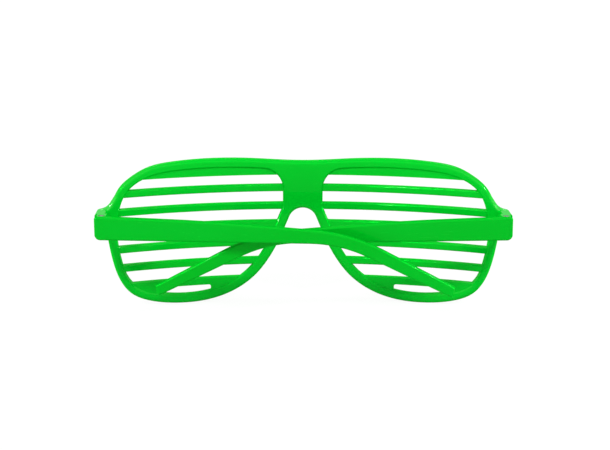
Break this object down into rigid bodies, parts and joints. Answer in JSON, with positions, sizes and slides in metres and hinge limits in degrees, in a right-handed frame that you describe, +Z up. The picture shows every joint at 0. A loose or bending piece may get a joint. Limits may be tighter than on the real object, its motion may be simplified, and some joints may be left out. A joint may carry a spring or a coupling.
{
  "type": "slatted novelty glasses",
  "caption": "Plastic novelty glasses with level slats in place of lenses and two folding temples on small hinge screws.",
  "frame": {"origin": "on the table plane under the middle of the folded glasses: midway between the end pieces, midway between the foremost and the rearmost point, at the height of the rims' lowest points", "axes": "+X towards the wearer's right, +Y the way the wearer looks, +Z up"},
  "size_m": [0.146, 0.0404, 0.0529],
  "materials": {
    "green_plastic": "gloss",
    "screw_steel": "satin"
  },
  "bodies": {
    "front": {"front_frame": "green_plastic", "left_hinge_screw": "screw_steel", "right_hinge_screw": "screw_steel"},
    "left_temple": {"left_temple": "green_plastic"},
    "right_temple": {"right_temple": "green_plastic"}
  },
  "joints": [
    {"name": "left_hinge", "type": "hinge", "parent": "front", "child": "left_temple", "pos_m": [-0.0704, -0.00803, 0.03275], "axis": [0, 0, -1], "range_deg": [0, 85.5]},
    {"name": "right_hinge", "type": "hinge", "parent": "front", "child": "right_temple", "pos_m": [0.0704, -0.00803, 0.03275], "axis": [0, 0, 1], "range_deg": [0, 90.5]}
  ]
}
